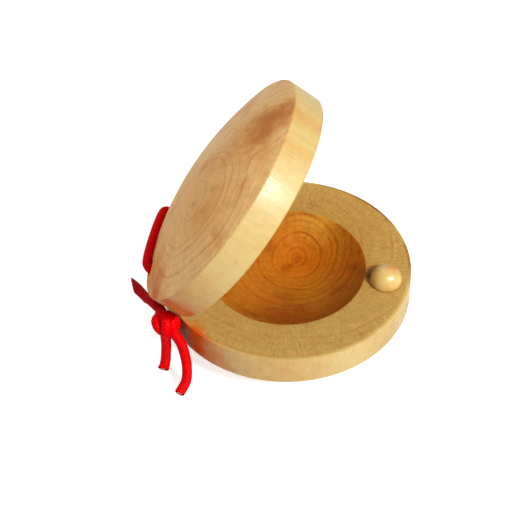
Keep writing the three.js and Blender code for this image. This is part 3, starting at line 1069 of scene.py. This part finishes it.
# Each thread as (depth below the cut, radius), with a rounded tip.
THREAD_RINGS = ((1.2, 0.19), (0.6, 0.19), (0.2, 0.19), (0.02, 0.17), (-0.06, 0.1))
THREADS_AROUND = 6
THREAD_RING_RADIUS = 0.37
THREAD_SEGMENTS = 14
THREAD_UNEVENNESS = 0.05
THREAD_PHASE = 2.3


def cut_mouth(verts, faces, crowns, centre, along):
    """Turn the braid's open end inwards over the cut edge, to meet the core."""
    last_ring = len(verts) - 1 - AROUND
    rim = verts[last_ring:-1]
    rim_crowns = crowns[last_ring:-1]
    previous = last_ring
    for size, push in MOUTH_RINGS:
        ring = len(verts)
        verts = np.vstack([verts, centre + (rim - centre) * size + along * push])
        crowns = np.append(crowns, rim_crowns * MOUTH_CROWN)
        faces += band(previous, ring, AROUND)
        previous = ring
    faces += fan(previous, len(verts), AROUND)
    verts = np.vstack([verts, centre - along * MOUTH_DEPTH])
    return verts, faces, np.append(crowns, VALLEY)


def slanted(verts, centre, along, tilt):
    """The end sheared along the cord, so that its cut slants."""
    near = ease(np.clip(1 - np.linalg.norm(verts - centre, axis=1) / CUT_REACH, 0, 1))
    slant = (verts - centre) @ tilt
    return verts + (near * slant)[:, None] * along


def rubber_threads(centre, along, tilt):
    """A ring of rubber threads round a middle one, ending a little unevenly."""
    depths, sizes = zip(*THREAD_RINGS)
    lengthwise = np.array([centre - along * depth for depth in depths])
    sides, across = turning_frames(lengthwise)
    threads = []
    for k in range(THREADS_AROUND + 1):
        angle = 2 * math.pi * k / THREADS_AROUND
        reach = THREAD_RING_RADIUS if k < THREADS_AROUND else 0.0
        shift = reach * (math.cos(angle) * sides[0] + math.sin(angle) * across[0])
        slant = (shift @ tilt) * along
        drop = along * (THREAD_UNEVENNESS * math.sin(THREAD_PHASE * k))
        threads.append(tube(lengthwise + shift + slant + drop, np.zeros(len(sizes)),
                            np.array(sizes), around=THREAD_SEGMENTS, woven=False))
    return threads


def add_tail(name, stops, flare, tilt):
    """A loose cord end: braid with a cut mouth, and the rubber threads inside it."""
    tilt = np.array(tilt)
    path, travel = smooth_path(stops)
    radius = taper(travel, [(0, SLACK_RADIUS), (-FLARE_FROM, SLACK_RADIUS), (-FLARE_TO, flare),
                            (-1e-9, flare)])
    centre = path[-1]
    along = (path[-1] - path[-2]) / np.linalg.norm(path[-1] - path[-2])
    verts, faces, crowns = cut_mouth(*tube(path, travel, radius, open_end=True), centre, along)
    verts = slanted(verts, centre, along, tilt)
    braid = cord_mesh(f"{name}_braid", [(verts, faces, crowns)], RED_BRAID)
    bend_between(braid, (f"{name}_sheath",))

    core = cord_mesh(f"{name}_rubber", rubber_threads(centre, along, tilt), PALE_RUBBER)
    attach(core, name)
    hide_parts(f"{name}_core")


add_tail(
    "short_tail",
    [SHORT_START, SHORT_NEXT, knot_point(-0.05, -1.7, 1.55),
     (-22.55, -22.6, -2.7), (-22.6, -22.5, -5.4), (-22.65, -23.0, -7.6),
     (-22.72, -23.5, -9.3), (-22.8, -24.3, -10.2), (-22.9, -25.3, -10.4)],
    flare=1.2, tilt=(0.0, 0.0, 0.5))
add_tail(
    "long_tail",
    [LONG_START, LONG_NEXT, (-19.2, -23.1, -3.4), (-18.5, -23.8, -4.6),
     (-17.4, -25.9, -7.4), (-17.1, -28.3, -9.7), (-18.0, -31.1, -10.75)],
    flare=1.08, tilt=(0.0, 0.0, 0.0))

# ---- Studio ----

FLOOR_REACH = 3
FLOOR_GLOW = 0.7
BACKDROP_SEEN = 1.0
BACKDROP_LIGHT = 0.38
WHITE = (1, 1, 1, 1)


def pale_floor():
    """A plain light floor that looks white and still takes a soft shadow."""
    nodes = Nodes("pale_floor")
    drifting = nodes.noise(nodes.millimetres(), 0.01, detail=2.0)
    seen = nodes.add("ShaderNodeLightPath").outputs["Is Camera Ray"]
    nodes.look("Base Color", nodes.mix(drifting, (0.68, 0.68, 0.68, 1), (0.7, 0.7, 0.7, 1)))
    nodes.look("Roughness", 0.9)
    nodes.look("Specular IOR Level", 0.1)
    nodes.look("Emission Color", WHITE)
    nodes.look("Emission Strength", nodes.math("MULTIPLY", seen, FLOOR_GLOW))
    mesh = bpy.data.meshes.new("floor")
    far = FLOOR_REACH
    mesh.from_pydata([(-far, -far, 0), (far, -far, 0), (far, far, 0), (-far, far, 0)], [],
                     [(0, 1, 2, 3)])
    return new_object("floor", mesh, nodes.material)


def towards(azimuth, elevation):
    a, e = math.radians(azimuth), math.radians(elevation)
    return Vector((math.sin(a) * math.cos(e), -math.cos(a) * math.cos(e), math.sin(e)))


def softbox(name, azimuth, elevation, distance, size, power, tint):
    """A square area light that faces the origin."""
    lamp = bpy.data.lights.new(name, "AREA")
    lamp.shape = "RECTANGLE"
    lamp.size = size
    lamp.size_y = size
    lamp.energy = power
    lamp.color = tint
    direction = towards(azimuth, elevation)
    made = new_object(name, lamp)
    made.location = direction * distance
    made.rotation_euler = direction.to_track_quat("Z", "Y").to_euler()


def backdrop():
    """Surroundings that look white, while the light they cast stays soft."""
    world = bpy.data.worlds.new("studio")
    world.use_nodes = True
    tree = world.node_tree
    background = tree.nodes["Background"]
    background.inputs["Color"].default_value = WHITE
    seen = tree.nodes.new("ShaderNodeLightPath").outputs["Is Camera Ray"]
    strength = tree.nodes.new("ShaderNodeMapRange")
    strength.inputs["To Min"].default_value = BACKDROP_LIGHT
    strength.inputs["To Max"].default_value = BACKDROP_SEEN
    tree.links.new(seen, strength.inputs["Value"])
    tree.links.new(strength.outputs["Result"], background.inputs["Strength"])
    return world


scene = bpy.context.scene
floor = pale_floor()
softbox("key", 57, 42, distance=0.75, size=0.17, power=6.9, tint=(1.0, 0.99, 0.99))
softbox("fill", -125, 52, distance=0.9, size=0.6, power=2.5, tint=(1.0, 0.98, 0.95))
scene.world = backdrop()
scene.view_settings.view_transform = "Standard"

# ---- Camera: in front, 12 degrees to the right and 46 degrees up ----

CAMERA_PLACE = Vector((45.9, -247.53, 263.21))
CAMERA_TARGET = Vector((-6.01, -0.21, 0.99))
CAMERA_ROLL = math.radians(-1.58)
CAMERA_LENS = 113.77


def viewing_camera():
    lens = bpy.data.cameras.new("camera")
    lens.lens = CAMERA_LENS
    lens.sensor_width = 36.0
    lens.clip_start = 0.01
    back = (CAMERA_PLACE - CAMERA_TARGET).normalized()
    right = (-back).cross(Vector((0, 0, 1))).normalized()
    up = right.cross(-back)
    lean_right, lean_up = math.cos(CAMERA_ROLL), math.sin(CAMERA_ROLL)
    axes = Matrix((lean_right * right + lean_up * up,
                   lean_right * up - lean_up * right, back)).transposed()
    camera = new_object("camera", lens)
    camera.matrix_world = Matrix.Translation(hinge_metres(CAMERA_PLACE)) @ axes.to_4x4()
    return camera


scene.camera = viewing_camera()
